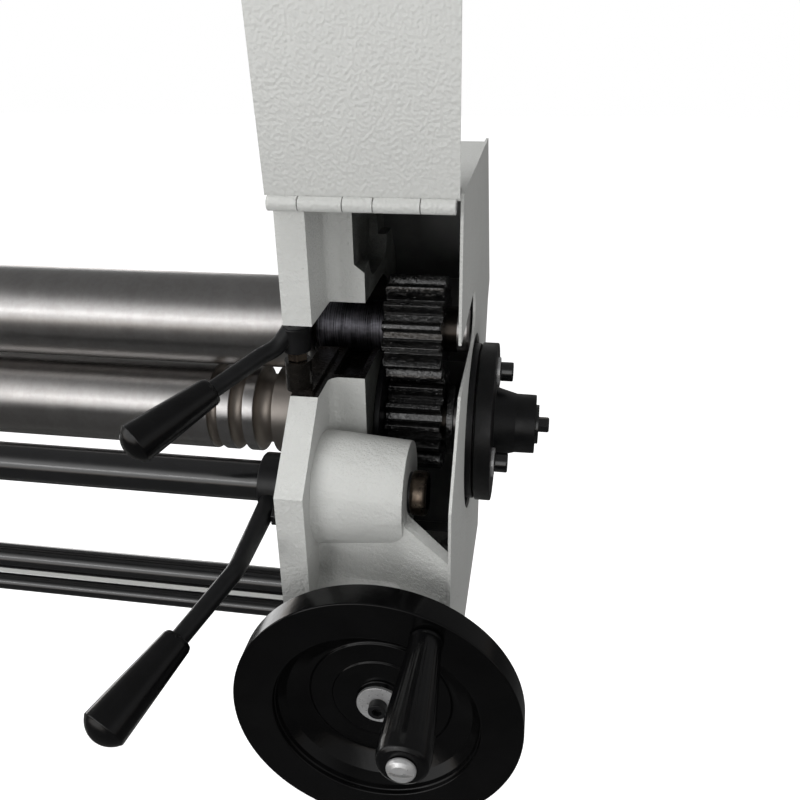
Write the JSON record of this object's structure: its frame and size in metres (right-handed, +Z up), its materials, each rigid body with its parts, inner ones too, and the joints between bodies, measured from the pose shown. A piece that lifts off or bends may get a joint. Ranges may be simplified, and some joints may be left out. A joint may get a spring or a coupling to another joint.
{
  "type": "plate rolling machine",
  "caption": "Hand operated plate rolling machine with steel rolls, wire grooves, open gear case with hinged lid, dished handwheels and levers, on a pedestal stand.",
  "frame": {"origin": "on the floor, midway between the side frames, straight below the axes of the pinch rolls", "axes": "+X along the rolls towards the geared drive end, +Y away from the operator, +Z up"},
  "size_m": [1.416, 0.5134, 1.34],
  "materials": {
    "paint_light": "satin",
    "roll_steel": "polished",
    "gear_black": "greasy",
    "black_oxide": "satin",
    "wheel_black": "gloss",
    "grip_black": "gloss",
    "zinc": "zinc plated"
  },
  "bodies": {
    "base": {"right_frame": "paint_light", "left_frame": "paint_light", "right_pedestal": "paint_light", "left_pedestal": "paint_light", "gear_case": "paint_light", "case_hinge": "paint_light", "hinge_pin": "zinc", "rear_roll": "roll_steel", "upper_sleeve": "black_oxide", "left_sleeve": "black_oxide", "bearing_flange": "black_oxide", "release_block": "black_oxide", "release_pin": "zinc", "front_tie_rod": "black_oxide", "lower_tie_rod": "black_oxide", "tie_bar": "paint_light", "front_stretcher": "paint_light", "rear_stretcher": "paint_light"},
    "lid": {"lid": "paint_light"},
    "lower_train": {"lower_roll": "roll_steel", "lower_gear": "gear_black", "shaft_collar": "gear_black", "drive_hub": "black_oxide", "hub_bolts": "black_oxide", "end_washer": "zinc", "end_screw": "zinc"},
    "upper_train": {"upper_roll": "roll_steel", "upper_gear": "gear_black"},
    "release": {"release_lever": "black_oxide", "release_grip": "grip_black"},
    "throw": {"cross_shaft": "black_oxide", "throw_lever": "black_oxide", "throw_bolt": "zinc", "throw_grip": "grip_black"},
    "right_wheel": {"right_handwheel": "wheel_black", "right_wheel_shaft": "zinc", "right_wheel_screw": "zinc", "right_crank_pin": "zinc"},
    "right_crank": {"right_crank_handle": "grip_black"},
    "left_wheel": {"left_handwheel": "wheel_black", "left_wheel_shaft": "zinc", "left_wheel_screw": "zinc", "left_crank_pin": "zinc"},
    "left_crank": {"left_crank_handle": "grip_black"}
  },
  "joints": [
    {"name": "lid_hinge", "type": "hinge", "parent": "base", "child": "lid", "pos_m": [0.589, -0.12, 1.155], "axis": [1, 0, 0], "range_deg": [0, 176]},
    {"name": "lower_roll_spin", "type": "hinge", "parent": "base", "child": "lower_train", "pos_m": [0, 0, 0.95], "axis": [1, 0, 0], "continuous": true},
    {"name": "upper_roll_spin", "type": "hinge", "parent": "base", "child": "upper_train", "pos_m": [0, 0, 1.03], "axis": [1, 0, 0], "continuous": true},
    {"name": "release_lever_turn", "type": "hinge", "parent": "base", "child": "release", "pos_m": [0.533, -0.095, 1.05], "axis": [0, 0, -1], "range_deg": [0, 30]},
    {"name": "throw_lever_turn", "type": "hinge", "parent": "base", "child": "throw", "pos_m": [0, -0.108, 0.945], "axis": [-1, 0, 0], "range_deg": [0, 35]},
    {"name": "right_wheel_turn", "type": "hinge", "parent": "base", "child": "right_wheel", "pos_m": [0.604, -0.2, 0.825], "axis": [0, 1, 0], "continuous": true},
    {"name": "right_crank_spin", "type": "hinge", "parent": "right_wheel", "child": "right_crank", "pos_m": [0.6395, -0.25, 0.90113], "axis": [0, 1, 0], "continuous": true},
    {"name": "left_wheel_turn", "type": "hinge", "parent": "base", "child": "left_wheel", "pos_m": [-0.604, -0.2, 0.825], "axis": [0, 1, 0], "continuous": true},
    {"name": "left_crank_spin", "type": "hinge", "parent": "left_wheel", "child": "left_crank", "pos_m": [-0.6395, -0.25, 0.90113], "axis": [0, 1, 0], "continuous": true}
  ],
  "couplings": [
    {"joint": "upper_roll_spin", "follows": "lower_roll_spin", "ratio": -1}
  ]
}
